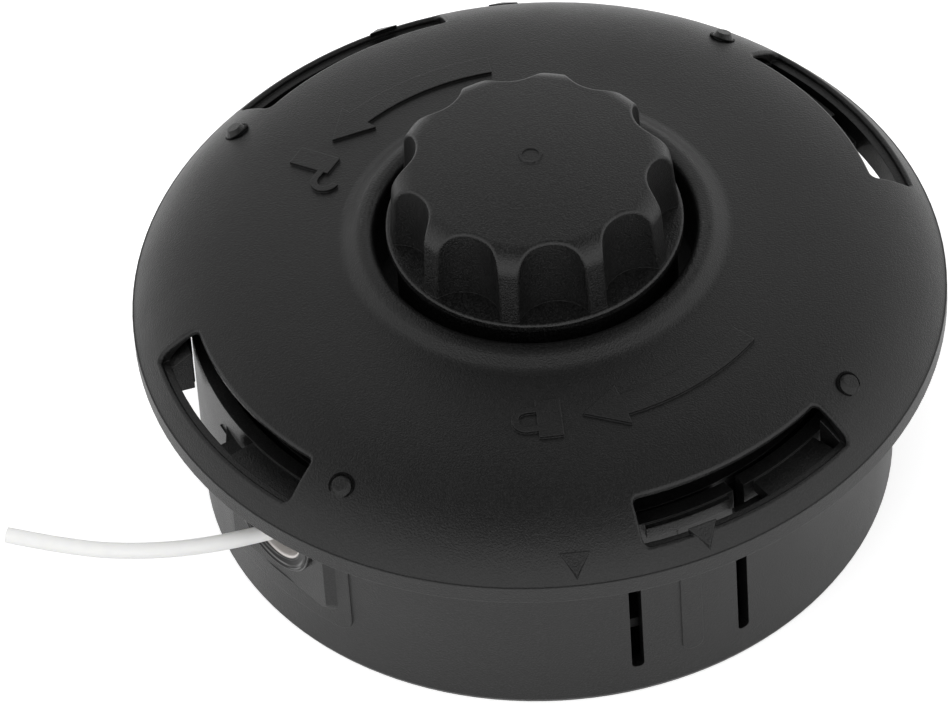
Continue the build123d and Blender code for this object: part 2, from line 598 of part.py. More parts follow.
def build():
    far_side = [(-x, -y) for x, y in INNER_ROUTE]
    return {
        "housing": housing(),
        "drive_insert": drive_insert(),
        "eyelet_front": eyelet(EYE_ANGLE),
        "eyelet_rear": eyelet(EYE_ANGLE + 180),
        "spool": spool(),
        "line_winding": line_winding(),
        "line_tail_front": cord(INNER_ROUTE + FRONT_END),
        "line_end_rear": cord(far_side + REAR_END),
        "spring": spring(),
        "thrust_washer": thrust_washer(),
        "cover": cover(),
        "bump_knob": bump_knob(),
    }


os.makedirs("parts", exist_ok=True)
for name, solid in build().items():
    export_step(solid, f"parts/{name}.step")
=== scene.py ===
import math
import bmesh
import bpy
from mathutils import Matrix, Vector


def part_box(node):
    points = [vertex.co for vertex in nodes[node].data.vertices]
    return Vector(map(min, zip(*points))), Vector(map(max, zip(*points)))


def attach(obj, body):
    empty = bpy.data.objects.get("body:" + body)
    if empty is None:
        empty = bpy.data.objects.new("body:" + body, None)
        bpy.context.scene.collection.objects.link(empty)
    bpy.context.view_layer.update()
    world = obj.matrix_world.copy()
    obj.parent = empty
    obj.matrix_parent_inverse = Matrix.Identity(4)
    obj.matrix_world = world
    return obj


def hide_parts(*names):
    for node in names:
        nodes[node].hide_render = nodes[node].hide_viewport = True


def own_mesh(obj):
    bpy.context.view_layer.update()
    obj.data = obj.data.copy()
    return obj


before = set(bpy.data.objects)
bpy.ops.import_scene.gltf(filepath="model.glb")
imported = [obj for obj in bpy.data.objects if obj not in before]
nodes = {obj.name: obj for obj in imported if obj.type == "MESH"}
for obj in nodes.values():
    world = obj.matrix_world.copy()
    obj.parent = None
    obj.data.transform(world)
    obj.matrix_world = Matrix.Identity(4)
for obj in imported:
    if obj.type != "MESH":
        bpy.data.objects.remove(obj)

scene = bpy.context.scene
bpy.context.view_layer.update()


# Drum housing: one injection moulding in black glass-filled nylon, with a fine spark-eroded grain
# from the tool. It carries the lugs, the latch tongues and the post that everything else goes on.
def new_finish(name):
    """Empty material, with what adds and joins its nodes, and its shader."""
    material = bpy.data.materials.new(name)
    material.use_nodes = True
    tree = material.node_tree
    return material, tree.nodes.new, tree.links.new, tree.nodes["Principled BSDF"]


def mix_colours(add, join, share, first, second, result):
    """Blend from one colour output to a second plain colour by a share."""
    blend = add("ShaderNodeMix")
    blend.data_type = "RGBA"
    ends = {socket.identifier: socket for socket in blend.inputs}
    ends["B_Color"].default_value = second
    join(share, ends["Factor_Float"])
    join(first, ends["A_Color"])
    blended = [socket for socket in blend.outputs if socket.identifier == "Result_Color"][0]
    join(blended, result)


def moulded_black(name, tone, gloss, grain, soft=0.0002, shine=0.5):
    """Black nylon: fine specks, clouds of flow in the gloss, and soft edges that are rubbed paler."""
    material, add, join, shader = new_finish(name)
    shader.inputs["Specular IOR Level"].default_value = shine
    place = add("ShaderNodeTexCoord").outputs["Object"]
    erosion = add("ShaderNodeTexNoise")
    erosion.inputs["Scale"].default_value = 3800
    erosion.inputs["Detail"].default_value = 2
    erosion.inputs["Roughness"].default_value = 0.6
    flow = add("ShaderNodeTexNoise")
    flow.inputs["Scale"].default_value = 70
    flow.inputs["Detail"].default_value = 4
    for texture in (erosion, flow):
        join(place, texture.inputs["Vector"])
    # the tool's edges are slightly rounded, and catch the light
    rounded = add("ShaderNodeBevel")
    rounded.samples = 4
    rounded.inputs["Radius"].default_value = soft
    bump = add("ShaderNodeBump")
    bump.inputs["Strength"].default_value = grain
    bump.inputs["Distance"].default_value = 0.0001
    join(rounded.outputs["Normal"], bump.inputs["Normal"])
    join(erosion.outputs["Fac"], bump.inputs["Height"])
    join(bump.outputs["Normal"], shader.inputs["Normal"])
    true = add("ShaderNodeNewGeometry")
    agree = add("ShaderNodeVectorMath")
    agree.operation = "DOT_PRODUCT"
    join(rounded.outputs["Normal"], agree.inputs[0])
    join(true.outputs["Normal"], agree.inputs[1])
    rubbed = add("ShaderNodeMapRange")
    rubbed.inputs["From Min"].default_value = 0.97
    rubbed.inputs["From Max"].default_value = 0.80
    join(agree.outputs["Value"], rubbed.inputs["Value"])
    specks = add("ShaderNodeValToRGB")
    for stop, height, level in zip(specks.color_ramp.elements, (0.42, 0.7), (0.3, 4.0)):
        stop.position = height
        stop.color = (tone * level, tone * level, tone * level, 1)
    join(erosion.outputs["Fac"], specks.inputs["Fac"])
    rubbed_tone = (tone * 4, tone * 4, tone * 4, 1)
    mix_colours(add, join, rubbed.outputs["Result"], specks.outputs["Color"], rubbed_tone,
                shader.inputs["Base Color"])
    dull = add("ShaderNodeMapRange")
    dull.inputs["From Min"].default_value = 0.3
    dull.inputs["From Max"].default_value = 0.7
    gloss_swing = 0.04
    dull.inputs["To Min"].default_value = gloss - gloss_swing
    dull.inputs["To Max"].default_value = gloss + gloss_swing
    join(flow.outputs["Fac"], dull.inputs["Value"])
    join(dull.outputs["Result"], shader.inputs["Roughness"])
    return material


def dress(node, material):
    """Give a carried-over solid its finish."""
    node.data.materials.clear()
    node.data.materials.append(material)


dress(nodes["housing"], moulded_black("drum_nylon", tone=0.003, gloss=0.36, grain=0.70))


# Drive insert: a flanged hexagonal bush turned from zinc-plated steel, with a left-hand M10 x 1.25
# thread. It is pressed up into the hub from the drive side and keyed by its hexagon.
def skin_rings(name, rings, crease):
    """Mesh through rings of equally many points; the last ring joins the first."""
    mesh = bpy.data.meshes.new(name)
    shape = bmesh.new()
    rows = [[shape.verts.new(point) for point in ring] for ring in rings]
    for row, after in zip(rows, rows[1:] + rows[:1]):
        for k in range(len(row)):
            nxt = (k + 1) % len(row)
            shape.faces.new((row[k], row[nxt], after[nxt], after[k]))
    bmesh.ops.recalc_face_normals(shape, faces=shape.faces)
    shape.to_mesh(mesh)
    shape.free()
    mesh.polygons.foreach_set("use_smooth", [True] * len(mesh.polygons))
    mesh.set_sharp_from_angle(angle=crease)
    return mesh


def add_piece(name, data, body, node=None):
    """Put a piece in the scene, riding on a body, in place of a solid if one is named."""
    piece = bpy.data.objects.new(name, data)
    scene.collection.objects.link(piece)
    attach(piece, body)
    if node:
        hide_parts(node)
    return piece


def plated_steel(name, colour, roughness, streak):
    """Bright plated steel with fine turning marks and a cloudy, finger-marked gloss."""
    material, add, join, shader = new_finish(name)
    shader.inputs["Metallic"].default_value = 1.0
    place = add("ShaderNodeTexCoord").outputs["Object"]
    stretch = add("ShaderNodeMapping")
    stretch.inputs["Scale"].default_value = streak
    join(place, stretch.inputs["Vector"])
    marks = add("ShaderNodeTexNoise")
    marks.inputs["Scale"].default_value = 1.0
    marks.inputs["Detail"].default_value = 4
    join(stretch.outputs["Vector"], marks.inputs["Vector"])
    clouds = add("ShaderNodeTexNoise")
    clouds.inputs["Scale"].default_value = 350
    clouds.inputs["Detail"].default_value = 3
    join(place, clouds.inputs["Vector"])
    tint = add("ShaderNodeValToRGB")
    tint.color_ramp.elements[0].position = 0.3
    tint.color_ramp.elements[0].color = (*[c * 0.55 for c in colour], 1)
    tint.color_ramp.elements[1].position = 0.62
    tint.color_ramp.elements[1].color = (*colour, 1)
    join(marks.outputs["Fac"], tint.inputs["Fac"])
    join(tint.outputs["Color"], shader.inputs["Base Color"])
    dull = add("ShaderNodeMapRange")
    dull.inputs["To Min"].default_value = roughness - 0.1
    dull.inputs["To Max"].default_value = roughness + 0.15
    join(clouds.outputs["Fac"], dull.inputs["Value"])
    join(dull.outputs["Result"], shader.inputs["Roughness"])
    bump = add("ShaderNodeBump")
    bump.inputs["Strength"].default_value = 0.3
    bump.inputs["Distance"].default_value = 0.00003
    join(marks.outputs["Fac"], bump.inputs["Height"])
    join(bump.outputs["Normal"], shader.inputs["Normal"])
    return material


insert_low, insert_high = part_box("drive_insert")
flange_r = (insert_high[0] - insert_low[0]) / 2
flat_half = 0.0075
flange_t = 0.0015
bevel = 0.0003
core_r = 0.004375
groove_r = 0.005
thread_pitch = 0.00125
around = 120
thread_rows = 130
turned_crease = math.radians(35)
foot, head = insert_low[2], insert_high[2]


def bush_ring(radius, z, hexagon=False):
    """Ring of points, round, or hexagonal with its corners turned off."""
    points = []
    for k in range(around):
        angle = 2 * math.pi * k / around
        reach = radius
        if hexagon:
            off_flat = (angle + math.pi / 6) % (math.pi / 3) - math.pi / 6
            reach = min(radius / math.cos(off_flat), radius * 1.13)
        points.append((reach * math.cos(angle), reach * math.sin(angle), z))
    return points


def thread_ring(z):
    """Ring of the left-hand thread: rounded grooves that run out at both mouths."""
    points = []
    fade = min(1.0, (z - foot) / thread_pitch, (head - z) / thread_pitch)
    for k in range(around):
        turn = k / around
        wave = abs(((z / thread_pitch + turn) % 1.0) * 2 - 1)
        depth = min(max(wave * 1.5 - 0.25, 0.0), 1.0) * max(fade, 0.0)
        radius = core_r + (groove_r - core_r) * depth
        points.append((radius * math.cos(2 * math.pi * turn), radius * math.sin(2 * math.pi * turn), z))
    return points


rings = [bush_ring(core_r + bevel, foot), bush_ring(flange_r - bevel, foot),
         bush_ring(flange_r, foot + bevel), bush_ring(flange_r, foot + flange_t - bevel),
         bush_ring(flange_r - bevel, foot + flange_t),
         bush_ring(flat_half, foot + flange_t, True), bush_ring(flat_half, head - bevel, True),
         bush_ring(flat_half - bevel, head, True), bush_ring(core_r + bevel, head)]
thread_length = head - foot - 2 * bevel
for k in range(thread_rows + 1):
    rings.append(thread_ring(head - bevel - thread_length * k / thread_rows))
bush = add_piece("threaded_bush", skin_rings("threaded_bush", rings, turned_crease), "housing",
                 "drive_insert")
bush.data.materials.append(plated_steel("zinc_plate", (0.62, 0.62, 0.60), 0.32, (300, 300, 9000)))


# Eyelets: two flanged ferrules turned from steel and pushed into the drum's wall from outside, which keep
# the line from sawing through the nylon. The bore is painted pale and less metallic, a painted reflection;
# the dished lip is dark and streaked.
def eyelet_painted_bore(name, axis_angle, axis_z, bore_r):
    """Dark streaked steel, painted pale and less metallic inside the radius of the bore as a painted
    reflection.
    """
    material, add, join, shader = new_finish(name)
    place = add("ShaderNodeTexCoord").outputs["Object"]
    turn = add("ShaderNodeMapping")
    turn.vector_type = "TEXTURE"
    turn.inputs["Location"].default_value = (0, 0, axis_z)
    turn.inputs["Rotation"].default_value = (0, 0, axis_angle)
    join(place, turn.inputs["Vector"])
    across = add("ShaderNodeVectorMath")
    across.operation = "MULTIPLY"
    across.inputs[1].default_value = (0, 1, 1)
    join(turn.outputs["Vector"], across.inputs[0])
    off_axis = add("ShaderNodeVectorMath")
    off_axis.operation = "LENGTH"
    join(across.outputs["Vector"], off_axis.inputs[0])
    # mask of the bore's radius, where a reflection is painted in as pale colour
    bore_reflection_mask = add("ShaderNodeMapRange")
    bore_reflection_mask.inputs["From Min"].default_value = bore_r + 0.0003
    bore_reflection_mask.inputs["From Max"].default_value = bore_r + 0.0001
    join(off_axis.outputs["Value"], bore_reflection_mask.inputs["Value"])
    # marks that run round the lip: fine across it, slow along it
    rounds = add("ShaderNodeCombineXYZ")
    join(off_axis.outputs["Value"], rounds.inputs["X"])
    spread = add("ShaderNodeVectorMath")
    spread.operation = "MULTIPLY_ADD"
    spread.inputs[1].default_value = (70, 70, 200)
    join(place, spread.inputs[0])
    fine = add("ShaderNodeVectorMath")
    fine.operation = "SCALE"
    fine.inputs["Scale"].default_value = 2600
    join(rounds.outputs["Vector"], fine.inputs[0])
    join(fine.outputs["Vector"], spread.inputs[2])
    streaks = add("ShaderNodeTexNoise")
    streaks.inputs["Scale"].default_value = 1.0
    streaks.inputs["Detail"].default_value = 3
    join(spread.outputs["Vector"], streaks.inputs["Vector"])
    lip = add("ShaderNodeValToRGB")
    for stop, height, level in zip(lip.color_ramp.elements, (0.5, 0.72), (0.012, 0.3)):
        stop.position = height
        stop.color = (level, level, level, 1)
    join(streaks.outputs["Fac"], lip.inputs["Fac"])
    # pale bore colour: painted reflection, bright where the bore's shape would mirror only the dark spool
    painted_bore_reflection = (0.86, 0.82, 0.79, 1)
    mix_colours(add, join, bore_reflection_mask.outputs["Result"], lip.outputs["Color"], painted_bore_reflection,
                shader.inputs["Base Color"])
    metal = add("ShaderNodeMapRange")
    metal.inputs["To Min"].default_value = 0.8
    metal.inputs["To Max"].default_value = 0.25
    join(bore_reflection_mask.outputs["Result"], metal.inputs["Value"])
    join(metal.outputs["Result"], shader.inputs["Metallic"])
    dull = add("ShaderNodeMapRange")
    dull.inputs["To Min"].default_value = 0.25
    dull.inputs["To Max"].default_value = 0.5
    join(streaks.outputs["Fac"], dull.inputs["Value"])
    join(dull.outputs["Result"], shader.inputs["Roughness"])
    bump = add("ShaderNodeBump")
    bump.inputs["Strength"].default_value = 0.3
    bump.inputs["Distance"].default_value = 0.00005
    join(streaks.outputs["Fac"], bump.inputs["Height"])
    join(bump.outputs["Normal"], shader.inputs["Normal"])
    return material


eye_low, eye_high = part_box("eyelet_front")
eye_middle = (Vector(eye_low) + Vector(eye_high)) / 2
eye_angle = math.atan2(eye_middle.y, eye_middle.x)
eyelet_steel = eyelet_painted_bore("worn_eyelet_steel", eye_angle, eye_middle.z, bore_r=0.0056)
for name in ("eyelet_front", "eyelet_rear"):
    dress(nodes[name], eyelet_steel)

# Spool: a moulded nylon bobbin with two flanges and a boss that the knob snaps on. It slides and
# turns on the drum's post and is driven by its index dogs.
dress(nodes["spool"], moulded_black("spool_nylon", tone=0.004, gloss=0.38, grain=0.40))


# Wound line: 2.4 mm white nylon, laid on the bobbin in tight turns and layers. The two ends leave the
# outer layer and run out through the eyelets.
def start_tree(name, **sockets):
    """Node tree with a named input for each socket kind given, and a finish."""
    tree = bpy.data.node_groups.new(name, "GeometryNodeTree")
    for label, kind in (*sockets.items(), ("finish", "Material")):
        label = label.replace("_", " ").title()
        tree.interface.new_socket(label, in_out="INPUT", socket_type="NodeSocket" + kind)
    tree.interface.new_socket("Shape", in_out="OUTPUT", socket_type="NodeSocketGeometry")
    return tree, tree.nodes.new, tree.links.new, tree.nodes.new("NodeGroupInput").outputs


def end_tree(add, join, given, shape):
    """Make the tree's shape one real mesh in the finish given, as its result."""
    whole = add("GeometryNodeRealizeInstances")
    join(shape, whole.inputs["Geometry"])
    finish = add("GeometryNodeSetMaterial")
    join(whole.outputs["Geometry"], finish.inputs["Geometry"])
    join(given["Finish"], finish.inputs["Material"])
    join(finish.outputs["Geometry"], add("NodeGroupOutput").inputs["Shape"])


def sums_in(add, join):
    """Function that adds one sum to a tree, on plain numbers or on other nodes' results."""
    def sum_of(kind, first, second=None):
        node = add("ShaderNodeMath")
        node.operation = kind
        for socket, value in zip(node.inputs, (first, second)):
            if isinstance(value, (int, float)):
                socket.default_value = value
            elif value is not None:
                join(value, socket)
        return node.outputs[0]

    return sum_of


def coil_tree():
    """Node tree for a round wire wound in a coil, with closed turns at both ends if asked for."""
    tree, add, join, given = start_tree("wound_coil", turns="Float", closed_turns="Float", radius="Float",
                                        wire="Float", foot="Float", height="Float", points="Int")
    sum_of = sums_in(add, join)

    def share(value, low, high):
        node = add("ShaderNodeMapRange")
        join(value, node.inputs["Value"])
        for label, end in (("From Min", low), ("From Max", high)):
            if isinstance(end, (int, float)):
                node.inputs[label].default_value = end
            else:
                join(end, node.inputs[label])
        return node.outputs["Result"]

    straight = add("GeometryNodeCurvePrimitiveLine")
    points = add("GeometryNodeResampleCurve")
    join(straight.outputs["Curve"], points.inputs["Curve"])
    join(given["Points"], points.inputs["Count"])
    along = add("GeometryNodeSplineParameter").outputs["Factor"]
    angle = sum_of("MULTIPLY", sum_of("MULTIPLY", along, given["Turns"]), 2 * math.pi)
    first = sum_of("DIVIDE", given["Closed Turns"], given["Turns"])
    last = sum_of("SUBTRACT", 1.0, first)
    closed = sum_of("MULTIPLY", given["Closed Turns"], given["Wire"])
    open_height = sum_of("SUBTRACT", sum_of("SUBTRACT", given["Height"], given["Wire"]),
                         sum_of("MULTIPLY", closed, 2.0))
    lower = sum_of("MULTIPLY", share(along, 0.0, first), closed)
    middle = sum_of("MULTIPLY", share(along, first, last), open_height)
    upper = sum_of("MULTIPLY", share(along, last, 1.0), closed)
    rise = sum_of("ADD", sum_of("ADD", lower, middle), upper)
    start = sum_of("ADD", given["Foot"], sum_of("DIVIDE", given["Wire"], 2.0))
    spot = add("ShaderNodeCombineXYZ")
    join(sum_of("MULTIPLY", given["Radius"], sum_of("COSINE", angle)), spot.inputs["X"])
    join(sum_of("MULTIPLY", given["Radius"], sum_of("SINE", angle)), spot.inputs["Y"])
    join(sum_of("ADD", start, rise), spot.inputs["Z"])
    wind = add("GeometryNodeSetPosition")
    join(points.outputs["Curve"], wind.inputs["Geometry"])
    join(spot.outputs["Vector"], wind.inputs["Position"])
    section = add("GeometryNodeCurvePrimitiveCircle")
    section.inputs["Resolution"].default_value = 12
    join(sum_of("DIVIDE", given["Wire"], 2.0), section.inputs["Radius"])
    wire = add("GeometryNodeCurveToMesh")
    wire.inputs["Fill Caps"].default_value = True
    join(wind.outputs["Geometry"], wire.inputs["Curve"])
    join(section.outputs["Curve"], wire.inputs["Profile Curve"])
    smooth = add("GeometryNodeSetShadeSmooth")
    join(wire.outputs["Mesh"], smooth.inputs["Geometry"])
    end_tree(add, join, given, smooth.outputs["Geometry"])
    return tree


def bake_tree(tree, **sizes):
    """Plain mesh of what a node tree makes from the sizes given."""
    carrier = bpy.data.objects.new("carrier", bpy.data.meshes.new("carrier"))
    scene.collection.objects.link(carrier)
    modifier = carrier.modifiers.new("shape", "NODES")
    modifier.node_group = tree
    labels = {socket.name.lower().replace(" ", "_"): socket.identifier
              for socket in tree.interface.items_tree if socket.in_out == "INPUT"}
    for label, value in sizes.items():
        modifier[labels[label]] = value
    mesh = bpy.data.meshes.new_from_object(carrier.evaluated_get(bpy.context.evaluated_depsgraph_get()))
    bpy.data.objects.remove(carrier)
    return mesh


def drawn_nylon(name, tone):
    """White drawn nylon: milky, satin, with faint streaks and dull patches."""
    material, add, join, shader = new_finish(name)
    shader.inputs["Subsurface Weight"].default_value = 0.5
    shader.inputs["Subsurface Radius"].default_value = (1.0, 1.0, 0.9)
    shader.inputs["Subsurface Scale"].default_value = 0.0012
    place = add("ShaderNodeTexCoord").outputs["Object"]
    clouds = add("ShaderNodeTexNoise")
    clouds.inputs["Scale"].default_value = 500
    clouds.inputs["Detail"].default_value = 3
    join(place, clouds.inputs["Vector"])
    tint = add("ShaderNodeValToRGB")
    tint.color_ramp.elements[0].position = 0.3
    tint.color_ramp.elements[0].color = (tone * 0.98, tone * 0.98, tone * 0.975, 1)
    tint.color_ramp.elements[1].position = 0.6
    tint.color_ramp.elements[1].color = (tone, tone, tone * 0.99, 1)
    join(clouds.outputs["Fac"], tint.inputs["Fac"])
    join(tint.outputs["Color"], shader.inputs["Base Color"])
    dull = add("ShaderNodeMapRange")
    dull.inputs["To Min"].default_value = 0.28
    dull.inputs["To Max"].default_value = 0.48
    join(clouds.outputs["Fac"], dull.inputs["Value"])
    join(dull.outputs["Result"], shader.inputs["Roughness"])
    bump = add("ShaderNodeBump")
    bump.inputs["Strength"].default_value = 0.15
    bump.inputs["Distance"].default_value = 0.00003
    join(clouds.outputs["Fac"], bump.inputs["Height"])
    join(bump.outputs["Normal"], shader.inputs["Normal"])
    return material


line_d = 0.0024
line_nylon = drawn_nylon("white_line", 0.88)
coil = coil_tree()
wound_low, wound_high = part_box("line_winding")
outer_r = (wound_high[0] - wound_low[0]) / 2 - line_d / 2
height = wound_high[2] - wound_low[2]
layer_step = line_d * math.cos(math.pi / 6)
coil_points = 420
layers = bmesh.new()
for layer in range(3):
    mesh = bake_tree(coil, turns=(height - line_d) / line_d, closed_turns=0.0,
                     radius=outer_r - layer * layer_step, wire=line_d, foot=wound_low[2],
                     height=height, points=coil_points, finish=line_nylon)
    layers.from_mesh(mesh)
wound = bpy.data.meshes.new("wound_line")
layers.to_mesh(wound)
layers.free()
wound.materials.append(line_nylon)
add_piece("wound_line", wound, "spool", "line_winding")

# Line ends: the same 2.4 mm nylon. The front length runs from the winding through the front eyelet to
# its cut end, the rear length ends just outside the rear eyelet.
line_z = (wound_low[2] + wound_high[2]) / 2
inner_route = [(3.0, -25.35), (-7.8, -27.0), (-18.7, -28.85), (-29.5, -31.0), (-40.2, -33.5)]
front_end = [(-50.6, -35.75), (-60.8, -35.95), (-70.6, -34.2), (-79.9, -30.7)]
rear_route = [(-x, -y) for x, y in inner_route] + [(48.0, 35.2)]
for name, route, length in (("line_tail_front", inner_route + front_end, 0.0846),
                            ("line_end_rear", rear_route, 0.0520)):
    curve = bpy.data.curves.new(name + "_run", "CURVE")
    curve.dimensions = "3D"
    curve.bevel_depth = line_d / 2
    curve.bevel_resolution = 6
    curve.resolution_u = 12
    curve.use_fill_caps = True
    spline = curve.splines.new("NURBS")
    spline.points.add(len(route) - 1)
    for point, (x, y) in zip(spline.points, route):
        point.co = (x / 1000, y / 1000, line_z, 1)
    spline.order_u = 3
    spline.use_endpoint_u = True
    curve.materials.append(line_nylon)
    piece = add_piece(name + "_run", curve, "housing", name)

# Spring: 1.5 mm hard-drawn steel wire, coiled with a closed turn at each end. It stands on the post and
# pushes the knob out, and shortens as the knob is bumped.
spring_low, spring_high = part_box("spring")
spring_length = spring_high[2] - spring_low[2]
wire_d = 0.0015
spring_wire = plated_steel("spring_wire", (0.30, 0.30, 0.31), 0.35, (900, 900, 900))
spring_mesh = bake_tree(coil, turns=7.0, closed_turns=1.0,
                        radius=(spring_high[0] - spring_low[0]) / 2 - wire_d / 2, wire=wire_d,
                        foot=spring_low[2], height=spring_length, points=coil_points,
                        finish=spring_wire)
spring = add_piece("coiled_spring", spring_mesh, "housing", "spring")
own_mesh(spring)

# Thrust washer: a ring stamped from spring steel. It lies loose between the spring and the knob, so that
# the knob can turn on it.
dress(nodes["thrust_washer"], plated_steel("washer_steel", (0.45, 0.45, 0.45), 0.35, (700, 700, 2000)))

# Cover: a domed nylon moulding that drops over the drum's lugs and is turned to lock under them. The lock
# signs stand a little proud of its grained skin.
cover_nylon = moulded_black("cover_nylon", tone=0.002, gloss=0.36, grain=0.90)
dress(nodes["cover"], cover_nylon)


# Stop ribs: the stops for the lugs run on under the dome behind two of the slots, where they close the gap
# between skirt and drum. They are part of the cover's moulding.
def rib_block(name, start, end, r_in, r_out, foot, top_in, top_out):
    """Block along an arc under the dome. Its inner face leans out over the last quarter."""
    steps = 16
    bevel_in, bevel_up = 0.0005, 0.001
    rows = []
    mesh = bpy.data.meshes.new(name)
    shape = bmesh.new()
    for k in range(steps + 1):
        angle = math.radians(start + (end - start) * k / steps)
        leaning = max(0, 4 * k / steps - 3)
        inner = r_in[0] + (r_in[1] - r_in[0]) * leaning
        out = Vector((math.cos(angle), math.sin(angle), 0))
        corners = ((inner, foot + bevel_up), (inner + bevel_in, foot), (r_out, foot),
                   (r_out, top_out), (inner, top_in))
        rows.append([shape.verts.new(out * reach + Vector((0, 0, z))) for reach, z in corners])
    for row, after in zip(rows, rows[1:]):
        for k in range(len(corners)):
            shape.faces.new((row[k], row[k - 1], after[k - 1], after[k]))
    shape.faces.new(rows[0])
    shape.faces.new(rows[-1])
    bmesh.ops.recalc_face_normals(shape, faces=shape.faces)
    shape.to_mesh(mesh)
    shape.free()
    return mesh


def round_tree():
    """Node tree that sets copies of one block evenly round the head's axis."""
    tree, add, join, given = start_tree("round_the_axis", block="Object", count="Int")
    sum_of = sums_in(add, join)
    block = add("GeometryNodeObjectInfo")
    join(given["Block"], block.inputs["Object"])
    places = add("GeometryNodePoints")
    join(given["Count"], places.inputs["Count"])
    step = sum_of("DIVIDE", 2 * math.pi, given["Count"])
    angle = sum_of("MULTIPLY", add("GeometryNodeInputIndex").outputs[0], step)
    turn = add("ShaderNodeCombineXYZ")
    join(angle, turn.inputs["Z"])
    copies = add("GeometryNodeInstanceOnPoints")
    join(places.outputs[0], copies.inputs["Points"])
    join(block.outputs["Geometry"], copies.inputs["Instance"])
    join(turn.outputs["Vector"], copies.inputs["Rotation"])
    end_tree(add, join, given, copies.outputs["Instances"])
    return tree


def add_round(name, block, count):
    """Put blocks like the given one round the cover, as one piece."""
    pattern = bpy.data.objects.new("pattern", block)
    scene.collection.objects.link(pattern)
    mesh = bake_tree(rib_round, block=pattern, count=count, finish=cover_nylon)
    bpy.data.objects.remove(pattern)
    add_piece(name, mesh, "cover")


rib_round = round_tree()
rim_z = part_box("cover")[0][2]
slot_middle = 30
skirt_r = 0.0565
rib = rib_block("stop_rib", slot_middle - 40, slot_middle - 16.6, r_in=(0.05185, 0.0526), r_out=skirt_r,
                foot=rim_z, top_in=rim_z + 0.0068, top_out=rim_z + 0.0045)
add_round("stop_ribs", rib, 2)

# Hook ends: the last stretch of the four hooks that the drum's lugs rest on, beyond the end of each
# slot. They are moulded with the cover, and they close the slots' far ends to the daylight from below.
hook_top = rim_z + 0.0017
hook = rib_block("hook_end", slot_middle + 17.6, slot_middle + 29, r_in=(0.0521, 0.0521), r_out=skirt_r,
                 foot=rim_z, top_in=hook_top, top_out=hook_top)
add_round("hook_ends", hook, 4)


# Pip grooves: the narrow sunk ring round the foot of each of the four pips on the dome, moulded with the
# cover. They get hardly any light, so here each is painted shade: a thin black ring of low shine that lies
# on the dome's skin.
def groove_tree():
    """Node tree for rings set round a circle, tilted to lie flat on the dome."""
    tree, add, join, given = start_tree("pip_grooves", count="Int", first_angle="Float", circle="Float",
                                        foot="Float", tilt="Float", radius="Float", width="Float",
                                        height="Float")
    sum_of = sums_in(add, join)
    step = sum_of("DIVIDE", 2 * math.pi, given["Count"])
    turns = sum_of("MULTIPLY", add("GeometryNodeInputIndex").outputs[0], step)
    angle = sum_of("ADD", given["First Angle"], turns)
    spot = add("ShaderNodeCombineXYZ")
    join(sum_of("MULTIPLY", given["Circle"], sum_of("COSINE", angle)), spot.inputs["X"])
    join(sum_of("MULTIPLY", given["Circle"], sum_of("SINE", angle)), spot.inputs["Y"])
    join(given["Foot"], spot.inputs["Z"])
    places = add("GeometryNodePoints")
    join(given["Count"], places.inputs["Count"])
    join(spot.outputs["Vector"], places.inputs["Position"])
    section = add("GeometryNodeCurvePrimitiveQuadrilateral")
    join(given["Width"], section.inputs["Width"])
    join(sum_of("MULTIPLY", given["Height"], 2.0), section.inputs["Height"])
    edge = add("GeometryNodeFilletCurve")
    edge.mode = "POLY"
    edge.inputs["Count"].default_value = 3
    join(sum_of("DIVIDE", given["Width"], 3.0), edge.inputs["Radius"])
    join(section.outputs["Curve"], edge.inputs["Curve"])
    path = add("GeometryNodeCurvePrimitiveCircle")
    path.inputs["Resolution"].default_value = 48
    join(given["Radius"], path.inputs["Radius"])
    ring = add("GeometryNodeCurveToMesh")
    join(path.outputs["Curve"], ring.inputs["Curve"])
    join(edge.outputs["Curve"], ring.inputs["Profile Curve"])
    leaning = add("ShaderNodeCombineXYZ")
    join(given["Tilt"], leaning.inputs["Y"])
    join(angle, leaning.inputs["Z"])
    copies = add("GeometryNodeInstanceOnPoints")
    join(places.outputs[0], copies.inputs["Points"])
    join(ring.outputs["Mesh"], copies.inputs["Instance"])
    join(leaning.outputs["Vector"], copies.inputs["Rotation"])
    end_tree(add, join, given, copies.outputs["Instances"])
    return tree


# painted shade: near-black with almost no specular, standing for the dark sunk groove
groove_shade = moulded_black("groove_shade", tone=0.002, gloss=0.5, grain=0.90, shine=0.06)
grooves = bake_tree(groove_tree(), count=4, first_angle=math.radians(54.8), circle=0.0529, foot=0.0406,
                    tilt=math.radians(36), radius=0.00178, width=0.00045, height=0.00012,
                    finish=groove_shade)
add_piece("pip_grooves", grooves, "cover")

# Bump knob: a fluted moulding in black nylon, snapped on the spool's boss. It meets the ground in use and
# has the same eroded grain as the cover.
knob_nylon = moulded_black("knob_nylon", tone=0.0035, gloss=0.34, grain=0.90, soft=0.00008)
dress(nodes["bump_knob"], knob_nylon)

# Gate mark: the ragged ring on the knob's crown where the sprue was twisted off. It is the knob's own
# nylon, and stands no higher than the crown.
gate_r = 0.00175
gate_points = 72
gate_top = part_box("bump_knob")[1][2]
gate_foot = gate_top - 0.0004
rings = []
for k in range(gate_points):
    angle = 2 * math.pi * k / gate_points
    out = Vector((math.cos(angle), math.sin(angle), 0))
    ragged = math.sin(5 * angle) + math.sin(11 * angle + 1) + math.sin(17 * angle + 2)
    inner = gate_r - 0.00022 - 0.00004 * ragged
    outer = gate_r + 0.0002 + 0.00003 * ragged
    crest = gate_top - 0.00005 + 0.000015 * ragged
    corners = ((inner, gate_foot), (inner, crest - 0.00005), (gate_r, crest), (outer, gate_foot))
    rings.append([out * reach + Vector((0, 0, z)) for reach, z in corners])
gate = add_piece("gate_mark", skin_rings("gate_mark", rings, turned_crease), "spool")
gate.data.materials.append(knob_nylon)

